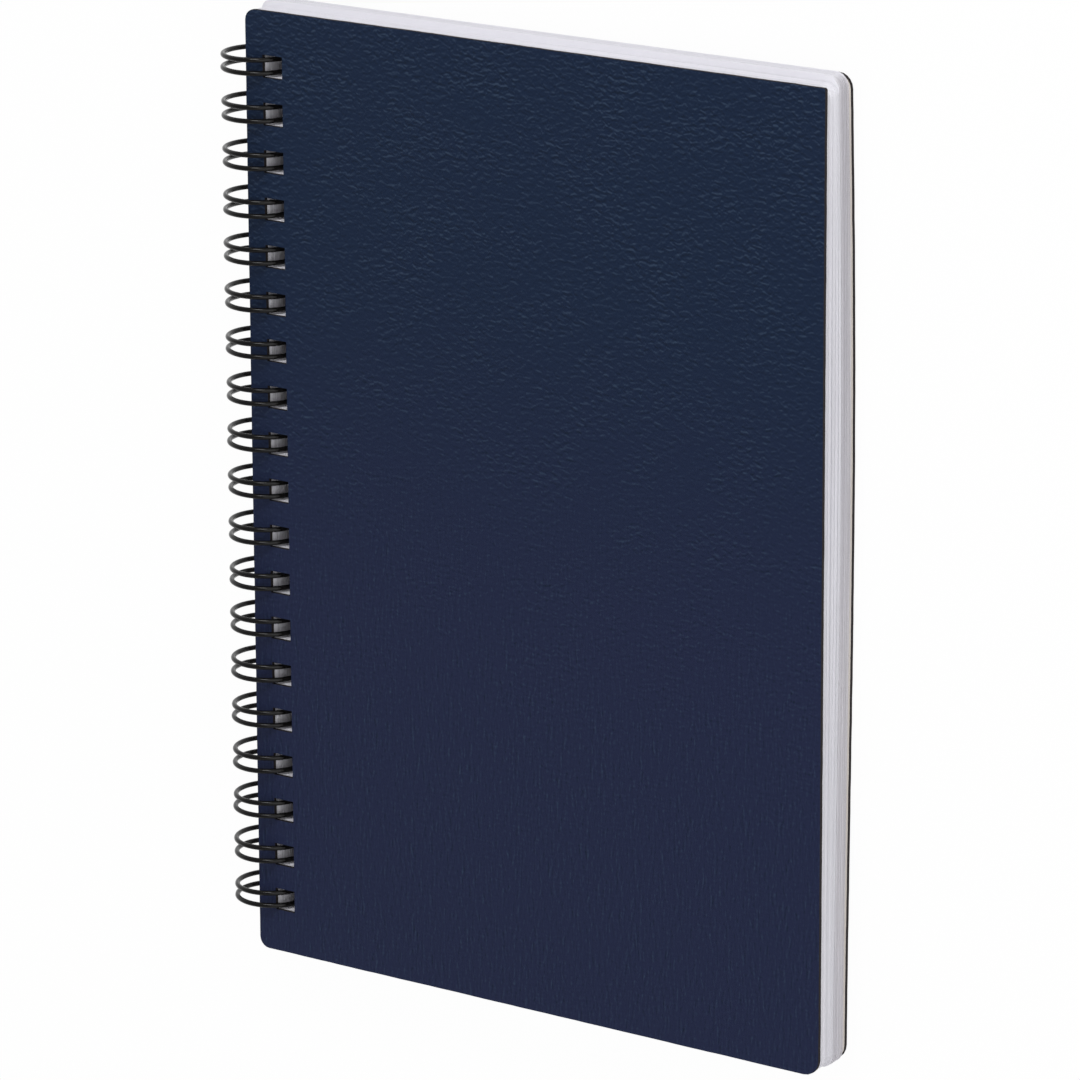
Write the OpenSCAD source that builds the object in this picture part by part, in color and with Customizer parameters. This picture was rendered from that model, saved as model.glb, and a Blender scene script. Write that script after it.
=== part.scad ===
// Pocket notebook bound down its left side with a black twin-loop wire.
// It lies closed on its back: +X runs from the spine to the fore-edge,
// +Y from the tail to the head, and +Z out of the front cover.
// The origin is under the middle of the closed notebook, at the lowest point of the wire.

/* [Covers] */
// Width of a cover, from its spine edge to its fore-edge
cover_w = 120; // [100:0.5:150]
// Height of a cover, from its tail to its head
cover_h = 172; // [168:0.5:200]
// Thickness of one cover
cover_t = 0.7; // [0.4:0.05:0.9]
// Radius of the die-cut corners at the fore-edge
fore_corner_r = 3; // [1:0.25:6]
// Radius of the die-cut corners at the spine
spine_corner_r = 2; // [0.5:0.25:3]
// Radius of the front cover's head corner at the fore-edge, which was cut almost square
head_corner_r = 0.4; // [0.2:0.1:3]

/* [Page block] */
// Thickness of the stack of sheets
block_t = 7.2; // [5:0.1:7.8]
// How far the sheets stay back from the covers at head, tail and fore-edge
page_inset = 0.5; // [0.2:0.1:1.5]
// Room that the first sheets leave beside and below a root of the wire
channel_room = 0.25; // [0.15:0.05:0.4]

/* [Punched holes] */
// Number of holes down the spine
hole_count = 19; // [5:1:19]
// Spacing of the holes, three to the inch
hole_pitch = 8.4667; // [8.3:0.01:8.6]
// Length of a hole across the spine margin
hole_w = 4.2; // [4:0.1:5]
// Height of a hole along the spine
hole_h = 4; // [3.8:0.05:4.6]
// Paper left between the spine edge and a hole
hole_margin = 3.7; // [3:0.1:4]

/* [Twin-loop wire] */
// Diameter of the coated wire
wire_d = 0.9; // [0.6:0.05:1]
// How far the middle of the loops lies outside the spine edge
loop_offset = 0.25; // [0.2:0.05:0.5]
// Spacing of the two legs of a loop
leg_gap = 2.4; // [2:0.05:2.5]
// Radius of the bend where a leg turns into the straight root between two loops
root_bend_r = 0.9; // [0.7:0.05:1.1]
// Gap left where a closed loop's tip comes round to the root
tip_gap = 0.3; // [0.25:0.05:0.8]
// Gap between the wire and the side of a hole nearest the spine
hole_clear = 0.2; // [0.1:0.05:0.5]
// How deep the roots lie under the front cover
root_sink = 0.9; // [0.1:0.1:1.5]
// How much thinner the wire is drawn where it is bent sharply
bend_thin = 0.03; // [0.02:0.01:0.06]

/* [Hidden] */
$fn = 48;
// Faces on the wire's round section and along each loop
wire_fn = 16;
loop_fn = 64;
// A thin bend runs on into the full wire at each end by this many degrees
bend_seat = 5;
// A cutter reaches this far past the face that it opens
past = 1;
wire_r = wire_d / 2;
closed_t = block_t + 2 * cover_t;
// Half of the closed notebook, and the faces of the stack of sheets, seen from the loops' middle
half_t = closed_t / 2;
half_block = block_t / 2;
// The loop is as big as it must be to pass round the margin of both covers
margin_reach = hole_margin + loop_offset + hole_clear;
loop_r = sqrt(half_t * half_t + margin_reach * margin_reach) + wire_r;
loop_reach = loop_r + wire_r;
// Heights above the lowest point of the wire
loop_z = loop_reach;
back_z = loop_z - half_t;
block_z = loop_z - half_block;
front_z = loop_z + half_block;
// The loops reach past the spine edge, and the whole is centred on X
spine_x = (loop_offset + loop_reach - cover_w) / 2;
loop_x = spine_x - loop_offset;
// The straight roots lie under the front cover, sunk among the first sheets
root_rise = half_block - root_sink - wire_r;
root_reach = sqrt(loop_r * loop_r + root_bend_r * root_bend_r);
root_angle = asin(root_rise / root_reach);
root_x = loop_x + root_reach * cos(root_angle);
root_len = hole_pitch - leg_gap - 2 * root_bend_r;
// A leg starts where its half of the round tip ends, just short of the root, and ends at the root's bend
tip_r = leg_gap / 2;
leg_start = root_angle + atan(tip_gap / loop_r) + atan(tip_r / loop_r);
leg_end = root_angle + 360 - atan(root_bend_r / loop_r);
// Channel that the roots press into the first sheets
channel_w = wire_d + 2 * channel_room;
channel_t = root_sink + wire_d + channel_room;
channel_len = hole_count * hole_pitch + 2 * channel_room;

// Height of a hole's middle along the spine, counted from the head
function hole_y(i) = ((hole_count - 1) / 2 - i) * hole_pitch;

// A square corner cutter that leaves a rounded corner of radius r
module corner_cut(r) {
    difference() {
        square(r + past);
        circle(r);
    }
}

// Outline of a sheet: its spine edge on the left, and a radius for each of its corners
module sheet_outline(w, h, head_spine_r, head_fore_r, tail_fore_r, tail_spine_r) {
    difference() {
        translate([0, -h / 2]) square([w, h]);
        translate([head_spine_r, h / 2 - head_spine_r]) mirror([1, 0]) corner_cut(head_spine_r);
        translate([w - head_fore_r, h / 2 - head_fore_r]) corner_cut(head_fore_r);
        translate([w - tail_fore_r, tail_fore_r - h / 2]) mirror([0, 1]) corner_cut(tail_fore_r);
        translate([tail_spine_r, tail_spine_r - h / 2]) rotate(180) corner_cut(tail_spine_r);
    }
}

// The row of punched holes, as an outline
module hole_row() {
    for (i = [0 : hole_count - 1])
        translate([hole_margin, hole_y(i) - hole_h / 2]) square([hole_w, hole_h]);
}

// Navy imitation leather on card, punched and die-cut
module cover(head_fore_r) {
    color("#222C40") linear_extrude(cover_t) difference() {
        sheet_outline(cover_w, cover_h, spine_corner_r, head_fore_r, fore_corner_r, spine_corner_r);
        hole_row();
    }
}

module front_cover() {
    translate([spine_x, 0, front_z]) cover(head_corner_r);
}

module back_cover() {
    translate([spine_x, 0, back_z]) cover(fore_corner_r);
}

// The channel crosses the strips of paper between the holes
module root_channel() {
    translate([root_x - channel_w / 2, -channel_len / 2, front_z - channel_t])
        cube([channel_w, channel_len, channel_t + past]);
}

// All the sheets as one block, set back from the covers' free edges
module page_block() {
    block_w = cover_w - page_inset;
    block_h = cover_h - 2 * page_inset;
    color("#E4E4EA") difference() {
        translate([spine_x, 0, block_z]) linear_extrude(block_t) difference() {
            sheet_outline(block_w, block_h, spine_corner_r, fore_corner_r, fore_corner_r, spine_corner_r);
            hole_row();
        }
        root_channel();
    }
}

// Touches the loops at an angle: its children's X runs along the spine, and their Y on round the loop
module at_loop(angle) {
    translate([loop_x, 0, loop_z]) rotate([0, -angle, 0]) translate([loop_r, 0, 0])
        rotate([90, 0, 90]) children();
}

// An arc of the wire about its own middle
module wire_arc(arc_r, start, turn, section_r) {
    rotate_extrude(angle = turn, start = start, $fn = loop_fn)
        translate([arc_r, 0]) circle(section_r, $fn = wire_fn);
}

// A sharp bend, a little thinner than the wire that it seats into at both ends
module wire_bend(bend_r, start, turn) {
    wire_arc(bend_r, start - bend_seat, turn + 2 * bend_seat, wire_r - bend_thin / 2);
}

// One leg of a loop: from the tip out through the front cover, round the spine and back to the root
module leg(side) {
    translate([loop_x, side * leg_gap / 2, loop_z]) rotate([90, 0, 0])
        wire_arc(loop_r, leg_start, leg_end - leg_start, wire_r);
}

// The two bends from a loop's legs out into the roots on either side
module root_bends() {
    bend_x = leg_gap / 2 + root_bend_r;
    at_loop(leg_end) {
        translate([bend_x, 0]) wire_bend(root_bend_r, 90, 90);
        translate([-bend_x, 0]) wire_bend(root_bend_r, 0, 90);
    }
}

// A straight root, from its middle at a height along the spine
module root(y, len) {
    translate([0, y, 0]) at_loop(leg_end) translate([0, root_bend_r, 0])
        rotate([0, 90, 0]) cylinder(h = len, r = wire_r, center = true, $fn = wire_fn);
}

// One wire from end to end: root, leg, tip, leg, root, and so on down the spine.
// Its tips nest between the roots, just inside the front cover's holes, where they show.
module twin_loop_wire() {
    end_y = (hole_count * hole_pitch - root_len / 2) / 2;
    color("#1C1C1C") {
        for (i = [0 : hole_count - 1]) translate([0, hole_y(i), 0]) {
            leg(1);
            at_loop(leg_start) wire_bend(tip_r, 180, 180);
            leg(-1);
            root_bends();
        }
        for (i = [1 : hole_count - 1]) root(hole_y(i) + hole_pitch / 2, root_len);
        // The wire is cut halfway along the root past each end loop
        for (side = [-1, 1]) root(side * end_y, root_len / 2);
    }
}

front_cover();
back_cover();
page_block();
twin_loop_wire();
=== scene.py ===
"""Looks of a closed pocket notebook: navy leather-look covers and white sheets on a black twin-loop wire.

All lengths are in metres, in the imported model's own frame: +X runs from the spine to the fore-edge,
+Y from the tail to the head, and +Z out of the front cover. The notebook lies on its back.
"""

import math

import bmesh
import bpy
from bpy.props import FloatProperty, FloatVectorProperty, IntProperty, PointerProperty
from mathutils import Euler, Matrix, Vector, geometry, noise


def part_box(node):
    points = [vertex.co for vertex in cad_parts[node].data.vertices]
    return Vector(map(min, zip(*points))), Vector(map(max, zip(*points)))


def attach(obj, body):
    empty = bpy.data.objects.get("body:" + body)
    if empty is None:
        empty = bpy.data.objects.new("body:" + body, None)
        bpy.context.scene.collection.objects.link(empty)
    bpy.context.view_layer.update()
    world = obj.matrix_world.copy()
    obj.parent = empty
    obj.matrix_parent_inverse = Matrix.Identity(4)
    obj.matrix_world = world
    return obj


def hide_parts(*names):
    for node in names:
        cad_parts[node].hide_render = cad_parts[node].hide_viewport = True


bl_info = {
    "name": "Twin-loop notebook",
    "version": (1, 0, 0),
    "blender": (4, 5, 0),
    "location": "3D View > Sidebar > Notebook",
    "description": "Makes the wire, sheets, covers and stage of a notebook around its packed model",
    "category": "Object",
}

MM = 0.001
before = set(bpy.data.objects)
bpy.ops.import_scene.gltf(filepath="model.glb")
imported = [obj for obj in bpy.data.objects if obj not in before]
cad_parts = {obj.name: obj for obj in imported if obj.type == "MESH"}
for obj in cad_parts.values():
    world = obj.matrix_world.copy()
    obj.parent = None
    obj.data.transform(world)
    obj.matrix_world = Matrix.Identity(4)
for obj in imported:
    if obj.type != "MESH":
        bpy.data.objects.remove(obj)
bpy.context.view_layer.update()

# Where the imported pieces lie
WIRE_LOW, WIRE_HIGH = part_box("twin_loop_wire")
BLOCK_LOW, BLOCK_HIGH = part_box("page_block")
FRONT_LOW, FRONT_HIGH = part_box("front_cover")
BACK_LOW, BACK_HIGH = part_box("back_cover")
SPINE_X = FRONT_LOW.x
COVER_WIDTH = FRONT_HIGH.x - FRONT_LOW.x
HALF_HEIGHT = FRONT_HIGH.y
LOOP_REACH = (WIRE_HIGH.z - WIRE_LOW.z) / 2
LOOP_CENTRE = Vector((WIRE_LOW.x + LOOP_REACH, 0, WIRE_LOW.z + LOOP_REACH))

# Points along a quarter turn of a sheet's corner, along a leg of a loop and round a sharp bend
CORNER_STEPS = 5
LEG_STEPS = 72
BEND_STEPS = 6
# Sides of the wire's round section
WIRE_SIDES = 16
# Steps along a cover's edge for each face of its grid
EDGE_STEPS = 3
# Length of the unevenness along a die-cut edge
WAVE_LENGTH = 3 * MM
# Edges that turn more than this stay sharp
SHARP_ANGLE = math.radians(40)
# Points nearer than this are one point
WELD = 0.01 * MM

# Settings of a Map Range node that eases in and out, and of a node that gives vectors
SMOOTH = {"interpolation_type": "SMOOTHSTEP"}
VECTORS = {"data_type": "FLOAT_VECTOR"}
# Settings by which the stack and the back cover settle together
SETTLING = ("Bow", "Splay", "Slide", "Lift", "Skew")


def linear(hex_colour):
    """An sRGB hex colour as linear red, green, blue and a full alpha."""
    parts = [int(hex_colour[i : i + 2], 16) / 255 for i in (1, 3, 5)]
    return [c / 12.92 if c <= 0.04045 else ((c + 0.055) / 1.055) ** 2.4 for c in parts] + [1.0]


def darkened(colour_value, share):
    """A linear colour darkened to a share of itself."""
    return [part * share for part in colour_value[:3]] + [1.0]


def length(name, description, millimetres, low=0.0):
    """A length property. Its default is given in millimetres."""
    return FloatProperty(
        name=name,
        description=description,
        default=millimetres * MM,
        min=low * MM,
        unit="LENGTH",
        precision=5,
    )


def share_of(name, description, default, low=0.0):
    """A property that is a share of a whole."""
    return FloatProperty(name=name, description=description, default=default, min=low, max=1.0)


def angle(name, description, degrees):
    """An angle property. Its default is given in degrees."""
    return FloatProperty(
        name=name,
        description=description,
        default=math.radians(degrees),
        subtype="ANGLE",
    )


def colour(name, description, hex_colour):
    """A colour property. Its default is given as sRGB hex."""
    return FloatVectorProperty(
        name=name,
        description=description,
        default=linear(hex_colour),
        size=4,
        min=0.0,
        max=1.0,
        subtype="COLOR",
    )


class HoleSettings(bpy.types.PropertyGroup):
    """The row of punched holes that covers, sheets and wire share."""

    count: IntProperty(name="Holes", description="Number of holes down the spine", default=19, min=1)
    pitch: length("Pitch", "Spacing of the holes, three to the inch", 8.4667)
    width: length("Width", "Length of a hole across the spine margin", 4.2)
    height: length("Height", "Height of a hole along the spine", 4.0)
    margin: length("Margin", "Paper between the spine edge and a hole", 3.7)


class WireSettings(bpy.types.PropertyGroup):
    """The twin-loop wire."""

    diameter: length("Diameter", "Diameter of the coated wire", 0.9)
    leg_gap: length("Leg gap", "Spacing of the two legs of a loop", 2.4)
    root_bend: length("Root bend", "Radius of the bend from a leg into a root", 0.9)
    root_sink: length("Root sink", "How deep the roots lie under the front cover", 3.0)
    tip_gap: length("Tip gap", "Gap between a closed loop's tip and the root", 0.3)
    lean: length("Lean", "How far a loop may lean along the spine at its far side", 0.2)
    seed: IntProperty(name="Seed", description="Seed of the leaning", default=7)
    coat: colour("Coat", "Colour of the nylon coat", "#0B0A0A")


class SheetSettings(bpy.types.PropertyGroup):
    """The stack of sheets."""

    count: IntProperty(name="Sheets", description="Number of sheets", default=80, min=2)
    clump: IntProperty(name="Clump", description="Sheets that cling together", default=8, min=1)
    thickness: length("Thickness", "Thickness of one sheet", 0.085)
    spine_corner: length("Spine corner", "Radius of the corners at the spine", 2.0)
    fore_corner: length("Fore corner", "Radius of the front sheets' corners at the fore-edge", 2.3)
    channel_room: length("Channel room", "Room left beside and below a root of the wire", 0.45)
    bow: length("Bow", "How far the back of the stack bows out halfway up the fore-edge", 1.4)
    fanned: share_of("Fanned", "Share of the stack, from the front, that fans open at the bow", 0.6, 0.1)
    front_share: share_of("Front share", "Share of the stack in its front group of sheets", 0.6)
    growth: length("Growth", "How far the front sheets pass the block at head and tail", 0.3)
    rear_growth: length("Rear growth", "The same for the rear sheets at the head", 1.3)
    rear_tail_growth: length("Rear tail growth", "The same for the rear sheets at the tail", 0.85)
    rear_corner: length("Rear corner", "Radius of the rear sheets' corners at the fore-edge", 2.4)
    splay: length("Splay", "How far the back of the stack has settled down at the fore-edge", 0.35)
    slide: length("Slide", "How far the back of the stack has slid towards the spine", 0.15)
    lift: length("Lift", "How far the back of the stack has slid towards the head", 0.1)
    skew: angle("Skew", "Turn of the back of the stack about the spine", 0.12)
    jitter: length("Jitter", "Unevenness of the sheets' edges", 0.05)
    grid: length("Grid", "Size of the faces that let a sheet bow", 12.0)
    seed: IntProperty(name="Seed", description="Seed of the unevenness", default=4)
    paper: colour("Paper", "Colour of the sheets", "#E8E7ED")
    # The next two colours are painted shade on the rear sheets' fore-edge, plain and in its darker lines
    rear_painted_shade: colour("Rough cut", "Colour of the rear sheets' rougher fore-edge", "#CBC8CC")
    rear_painted_shade_lines: colour("Rough shaded", "Colour of the darker lines in that fore-edge", "#A3A0A6")


class CoverSettings(bpy.types.PropertyGroup):
    """The two covers."""

    spine_corner: length("Spine corner", "Radius of the corners at the spine", 2.0)
    fore_corner: length("Fore corner", "Radius of the tail corners at the fore-edge", 3.0)
    head_corner: length("Head corner", "Radius of the front cover's head corner at the fore-edge", 0.4)
    back_corner: length("Back corner", "Radius of the back cover's head corner at the fore-edge", 2.6)
    back_growth: length("Back growth", "How far the back cover passes the front one at the head", 0.6)
    edge_round: length("Edge round", "Rounding of the die-cut edges", 0.14)
    edge_wave: length("Edge wave", "Unevenness of the die-cut edges", 0.05)
    grid: length("Grid", "Size of the faces that let a cover bow", 6.0)
    grain: length("Grain", "Length of a wrinkle of the embossed grain", 1.4)
    face: colour("Face", "Colour of the leathercloth at the head", "#11213A")
    tail_face: colour("Tail face", "Colour of the leathercloth at the tail", "#1C2340")
    # The next two colours are a painted highlight on the grain's slopes that face the lights, and painted
    # shade on its slopes that face away
    painted_highlight: colour("Crest", "Colour of the grain's worn crests", "#2B3A50")
    painted_shade: colour("Valley", "Colour in the grain's valleys", "#0B1A2F")
    core: colour("Core", "Colour of the die-cut edges", "#2A2526")
    lining: colour("Lining", "Colour of the covers' inner faces", "#DAD4CC")


class StageSettings(bpy.types.PropertyGroup):
    """Camera, lights and floor."""

    tilt: angle("Tilt", "How far the camera stands towards the head", 15.95)
    turn: angle("Turn", "How far the camera stands towards the fore-edge", 35.34)
    roll: angle("Roll", "Roll of the notebook in the picture", 0.31)
    distance: length("Distance", "Distance from the camera to the middle of the loops", 1162.2)
    aim_right: length("Aim right", "How far right of the notebook's middle the camera stands", 2.3, -50)
    aim_up: length("Aim up", "How far above the notebook's middle the camera stands", -1.8, -50)
    lens: FloatProperty(name="Lens", description="Focal length in mm on a 36 mm sensor", default=224.2)
    floor_white: share_of("Floor white", "Share of plain white in the floor that the camera sees", 0.97)
    key: FloatProperty(name="Key", description="Light from the head", default=2.65, unit="POWER")
    fill: FloatProperty(name="Fill", description="Light from the front", default=3.58, unit="POWER")
    zenith: FloatProperty(name="Zenith", description="Brightness of the room overhead", default=0.42)


def add_node(tree, kind, inputs=None, **settings):
    """Adds a node with its settings. Each named or numbered input takes a value, a socket, or a node, whose
    first output is then linked."""
    node = tree.nodes.new(kind)
    for name, value in settings.items():
        setattr(node, name, value)
    for key, value in (inputs or {}).items():
        source = value.outputs[0] if isinstance(value, bpy.types.Node) else value
        if isinstance(source, bpy.types.NodeSocket):
            tree.links.new(source, node.inputs[key])
        else:
            node.inputs[key].default_value = source
    return node


def new_material(name):
    """A material with an empty node tree, and that tree."""
    material = bpy.data.materials.new(name)
    material.use_nodes = True
    material.node_tree.nodes.clear()
    return material, material.node_tree


def finish_material(tree, look, relief_depth, relief):
    """Ends a material with a shader of this look and a relief of a real depth, which only bends light."""
    bump = add_node(tree, "ShaderNodeBump", {"Distance": relief_depth, "Height": relief})
    shader = add_node(tree, "ShaderNodeBsdfPrincipled", {**look, "Normal": bump})
    add_node(tree, "ShaderNodeOutputMaterial", {"Surface": shader})


def noise_pattern(tree, size, detail=2.0, roughness=0.5, distortion=0.0, beside=(0, 0, 0), layer=None):
    """Noise from 0 to 1 whose features have a real size along X, Y and Z. It may be read beside its place,
    by a part of that size, and it may change from layer to layer."""
    values = {
        "Vector": add_node(tree, "ShaderNodeTexCoord").outputs["Object"],
        "Location": beside,
        "Scale": [1 / part for part in size],
    }
    inputs = {
        "Vector": add_node(tree, "ShaderNodeMapping", values),
        "Scale": 1.0,
        "Detail": detail,
        "Roughness": roughness,
        "Distortion": distortion,
    }
    if layer is None:
        return add_node(tree, "ShaderNodeTexNoise", inputs)
    return add_node(tree, "ShaderNodeTexNoise", {**inputs, "W": layer}, noise_dimensions="4D")


def grained_leathercloth(covers):
    """Polyurethane leathercloth on card, embossed and calendered: satin, with fine wrinkles that run
    across the cover at its head, deeper in some places than in others, and fade into a smoother face with
    faint upright creases at its tail. The slope of each wrinkle that faces the head light, and of each
    crease that faces the fore-edge, is painted lighter as a painted highlight, and the slope that faces
    away is painted darker as painted shade."""
    material, tree = new_material("grained_leathercloth")
    grain = covers.grain
    wrinkle = {"size": (grain, 0.5 * grain, grain), "roughness": 0.55, "distortion": 0.6}
    crease = {"size": (0.45 * grain, 1.9 * grain, grain), "roughness": 0.6, "distortion": 0.5}
    pore = (0.4 * grain, 0.22 * grain, grain)
    patch = (24 * MM, 18 * MM, 24 * MM)
    cluster = (13 * MM, 8 * MM, 13 * MM)
    emboss_depth = 0.12 * MM
    pore_share = 0.1
    patch_reach = 0.05

    # The wrinkles fade from the head to the tail, a little unevenly, and the creases come up there
    object_place = add_node(tree, "ShaderNodeTexCoord").outputs["Object"]
    place = add_node(tree, "ShaderNodeSeparateXYZ", {0: object_place})
    patches = noise_pattern(tree, patch, 1.0)
    uneven = add_node(tree, "ShaderNodeMath", {0: patches, 1: 0.5}, operation="SUBTRACT")
    drift = {0: uneven, 1: patch_reach, 2: place.outputs["Y"]}
    drifted = add_node(tree, "ShaderNodeMath", drift, operation="MULTIPLY_ADD")
    head_range = {0: drifted, 1: -0.7 * HALF_HEIGHT, 2: 0.95 * HALF_HEIGHT, 3: 0.2, 4: 1.0}
    towards_head = add_node(tree, "ShaderNodeMapRange", head_range, **SMOOTH)
    tail_range = {0: towards_head, 1: 0.2, 2: 0.8, 3: 0.6, 4: 0.0}
    towards_tail = add_node(tree, "ShaderNodeMapRange", tail_range, **SMOOTH)
    cluster_range = {0: noise_pattern(tree, cluster, 1.0), 1: 0.32, 2: 0.68, 3: 0.8, 4: 1.25}
    clusters = add_node(tree, "ShaderNodeMapRange", cluster_range, **SMOOTH)
    depth = add_node(tree, "ShaderNodeMath", {0: towards_head, 1: clusters}, operation="MULTIPLY")

    # The height of the grain, which only bends the light, and the side of a wrinkle or crease that a point
    # is on, which is its height less the height just beside it
    grained = 0.0
    side = 0.0
    for pattern, beside, strength in (
        (wrinkle, (0.0, 0.5, 0.0), depth),
        (crease, (0.5, 0.0, 0.0), towards_tail),
    ):
        here = noise_pattern(tree, **pattern)
        there = noise_pattern(tree, beside=beside, **pattern)
        raised = add_node(tree, "ShaderNodeMath", {0: here, 1: 0.5}, operation="SUBTRACT")
        raising = {0: raised, 1: strength, 2: grained}
        grained = add_node(tree, "ShaderNodeMath", raising, operation="MULTIPLY_ADD")
        slope = add_node(tree, "ShaderNodeMath", {0: here, 1: there}, operation="SUBTRACT")
        sloping = {0: slope, 1: strength, 2: side}
        side = add_node(tree, "ShaderNodeMath", sloping, operation="MULTIPLY_ADD")
    pores = {0: noise_pattern(tree, pore, 1.0), 1: pore_share, 2: grained}
    height = add_node(tree, "ShaderNodeMath", pores, operation="MULTIPLY_ADD")
    # The side gives a painted highlight where a slope faces the lights, the head for wrinkles and the
    # fore-edge for creases, and painted shade where it faces away
    crests = add_node(tree, "ShaderNodeMapRange", {0: side, 1: 0.0, 2: 0.32}, **SMOOTH)
    valleys = add_node(tree, "ShaderNodeMapRange", {0: side, 1: 0.0, 2: -0.3}, **SMOOTH)

    smooth_range = {0: place.outputs["Y"], 1: 0.6 * HALF_HEIGHT, 2: -0.3 * HALF_HEIGHT}
    smooth_face = add_node(tree, "ShaderNodeMapRange", smooth_range, **SMOOTH)
    faces = {0: smooth_face, 6: covers.face, 7: covers.tail_face}
    face = add_node(tree, "ShaderNodeMix", faces, data_type="RGBA").outputs[2]
    # Painted shade on the slopes that face away from the lights, then a painted highlight on those that
    # face them
    shade_tones = {0: valleys, 6: face, 7: covers.painted_shade}
    shaded_face = add_node(tree, "ShaderNodeMix", shade_tones, data_type="RGBA").outputs[2]
    highlight_tones = {0: crests, 6: shaded_face, 7: covers.painted_highlight}
    highlighted_face = add_node(tree, "ShaderNodeMix", highlight_tones, data_type="RGBA").outputs[2]
    polish_range = {0: side, 1: -0.2, 2: 0.2, 3: 0.6, 4: 0.5}
    polish = add_node(tree, "ShaderNodeMapRange", polish_range, **SMOOTH)
    look = {"Base Color": highlighted_face, "Roughness": polish, "IOR": 1.5, "Specular IOR Level": 0.15}
    finish_material(tree, look, emboss_depth, height)
    return material


def die_cut_core(covers):
    """Bonded fibre board cut by a die: matt, dark and a little rough, with streaks across its cut edge."""
    material, tree = new_material("die_cut_core")
    cut_depth = 0.05 * MM
    streaks = noise_pattern(tree, (0.5 * MM, 0.5 * MM, 2.0 * MM), 2.0, 0.6)
    tones = {0: streaks, 6: darkened(covers.core, 0.55), 7: covers.core}
    streaked = add_node(tree, "ShaderNodeMix", tones, data_type="RGBA").outputs[2]
    look = {"Base Color": streaked, "Roughness": 0.85, "Specular IOR Level": 0.2}
    finish_material(tree, look, cut_depth, streaks)
    return material


def lining_paper(covers):
    """Cream lining paper pasted on the covers' inner faces: matt, with a faint cloudy formation. Its fibres
    are drawn coarser than real ones, which are too fine to show."""
    material, tree = new_material("lining_paper")
    fibre_height = 0.012 * MM
    clouds = noise_pattern(tree, (4 * MM, 4 * MM, 4 * MM), 4.0, 0.6)
    fibres = noise_pattern(tree, (0.5 * MM, 0.16 * MM, 0.5 * MM), 2.0, 0.6)
    tones = {0: clouds, 6: darkened(covers.lining, 0.93), 7: covers.lining}
    clouded = add_node(tree, "ShaderNodeMix", tones, data_type="RGBA").outputs[2]
    look = {"Base Color": clouded, "Roughness": 0.9, "Specular IOR Level": 0.3}
    finish_material(tree, look, fibre_height, fibres)
    return material


def uncoated_paper(sheets):
    """Uncoated white writing paper: matt and faintly fibrous. Each sheet's cut edge catches the light a
    little differently, which draws fine lines along the stack. The rear sheets' fore-edge is painted
    greyer where it faces the fore-edge, as painted shade. Real fibres are too fine to show, so these are
    drawn coarser."""
    material, tree = new_material("uncoated_paper")
    fibre_height = 0.01 * MM
    fine_line = (60 * MM, 60 * MM, 60 * MM)
    coarse_line = (200 * MM, 200 * MM, 200 * MM)
    # How many times the tone changes through the stack
    fine_changes = 24.0
    coarse_changes = 9.0
    share = add_node(tree, "ShaderNodeAttribute", attribute_name="share").outputs["Fac"]
    fibres = noise_pattern(tree, (0.5 * MM, 0.2 * MM, 0.5 * MM), 3.0, 0.6)

    # The lines along the stack
    fine_layer = add_node(tree, "ShaderNodeMath", {0: share, 1: fine_changes}, operation="MULTIPLY")
    coarse_layer = add_node(tree, "ShaderNodeMath", {0: share, 1: coarse_changes}, operation="MULTIPLY")
    fine = {0: noise_pattern(tree, fine_line, 2.0, 0.7, layer=fine_layer), 1: 0.3, 2: 0.7}
    coarse = {0: noise_pattern(tree, coarse_line, 0.0, layer=coarse_layer), 1: 0.2, 2: 0.6}
    both = {
        0: add_node(tree, "ShaderNodeMapRange", fine, **SMOOTH),
        1: add_node(tree, "ShaderNodeMapRange", coarse, **SMOOTH),
    }
    lines = add_node(tree, "ShaderNodeMath", both, operation="MULTIPLY")

    # They are on the cut edges only, and not on a sheet's face
    normal = add_node(tree, "ShaderNodeTexCoord").outputs["Normal"]
    facing = add_node(tree, "ShaderNodeSeparateXYZ", {0: normal})
    upright = add_node(tree, "ShaderNodeMath", {0: facing.outputs["Z"]}, operation="ABSOLUTE")
    on_face = add_node(tree, "ShaderNodeMapRange", {0: upright, 1: 0.5, 2: 0.9}, **SMOOTH)
    lightness = add_node(tree, "ShaderNodeMath", {0: lines, 1: on_face}, operation="MAXIMUM")
    tones = {0: lightness, 6: darkened(sheets.paper, 0.74), 7: sheets.paper}
    tone = add_node(tree, "ShaderNodeMix", tones, data_type="RGBA").outputs[2]

    # Painted shade on the rear sheets' fore-edge, only where the surface faces the fore-edge; it begins
    # within a small share of the stack
    begins = 0.01
    rear_range = {0: share, 1: sheets.front_share - begins, 2: sheets.front_share + begins}
    rear = add_node(tree, "ShaderNodeMapRange", rear_range, **SMOOTH)
    to_fore_edge = add_node(tree, "ShaderNodeMapRange", {0: facing.outputs["X"], 1: 0.3, 2: 0.95}, **SMOOTH)
    rear_painted_shade = add_node(tree, "ShaderNodeMath", {0: rear, 1: to_fore_edge}, operation="MULTIPLY")
    rear_shade_tones = {0: lines, 6: sheets.rear_painted_shade_lines, 7: sheets.rear_painted_shade}
    rear_shade_tone = add_node(tree, "ShaderNodeMix", rear_shade_tones, data_type="RGBA").outputs[2]
    both_tones = {0: rear_painted_shade, 6: tone, 7: rear_shade_tone}
    lined = add_node(tree, "ShaderNodeMix", both_tones, data_type="RGBA").outputs[2]
    look = {"Base Color": lined, "Roughness": 0.9, "Specular IOR Level": 0.3}
    finish_material(tree, look, fibre_height, fibres)
    return material


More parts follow.
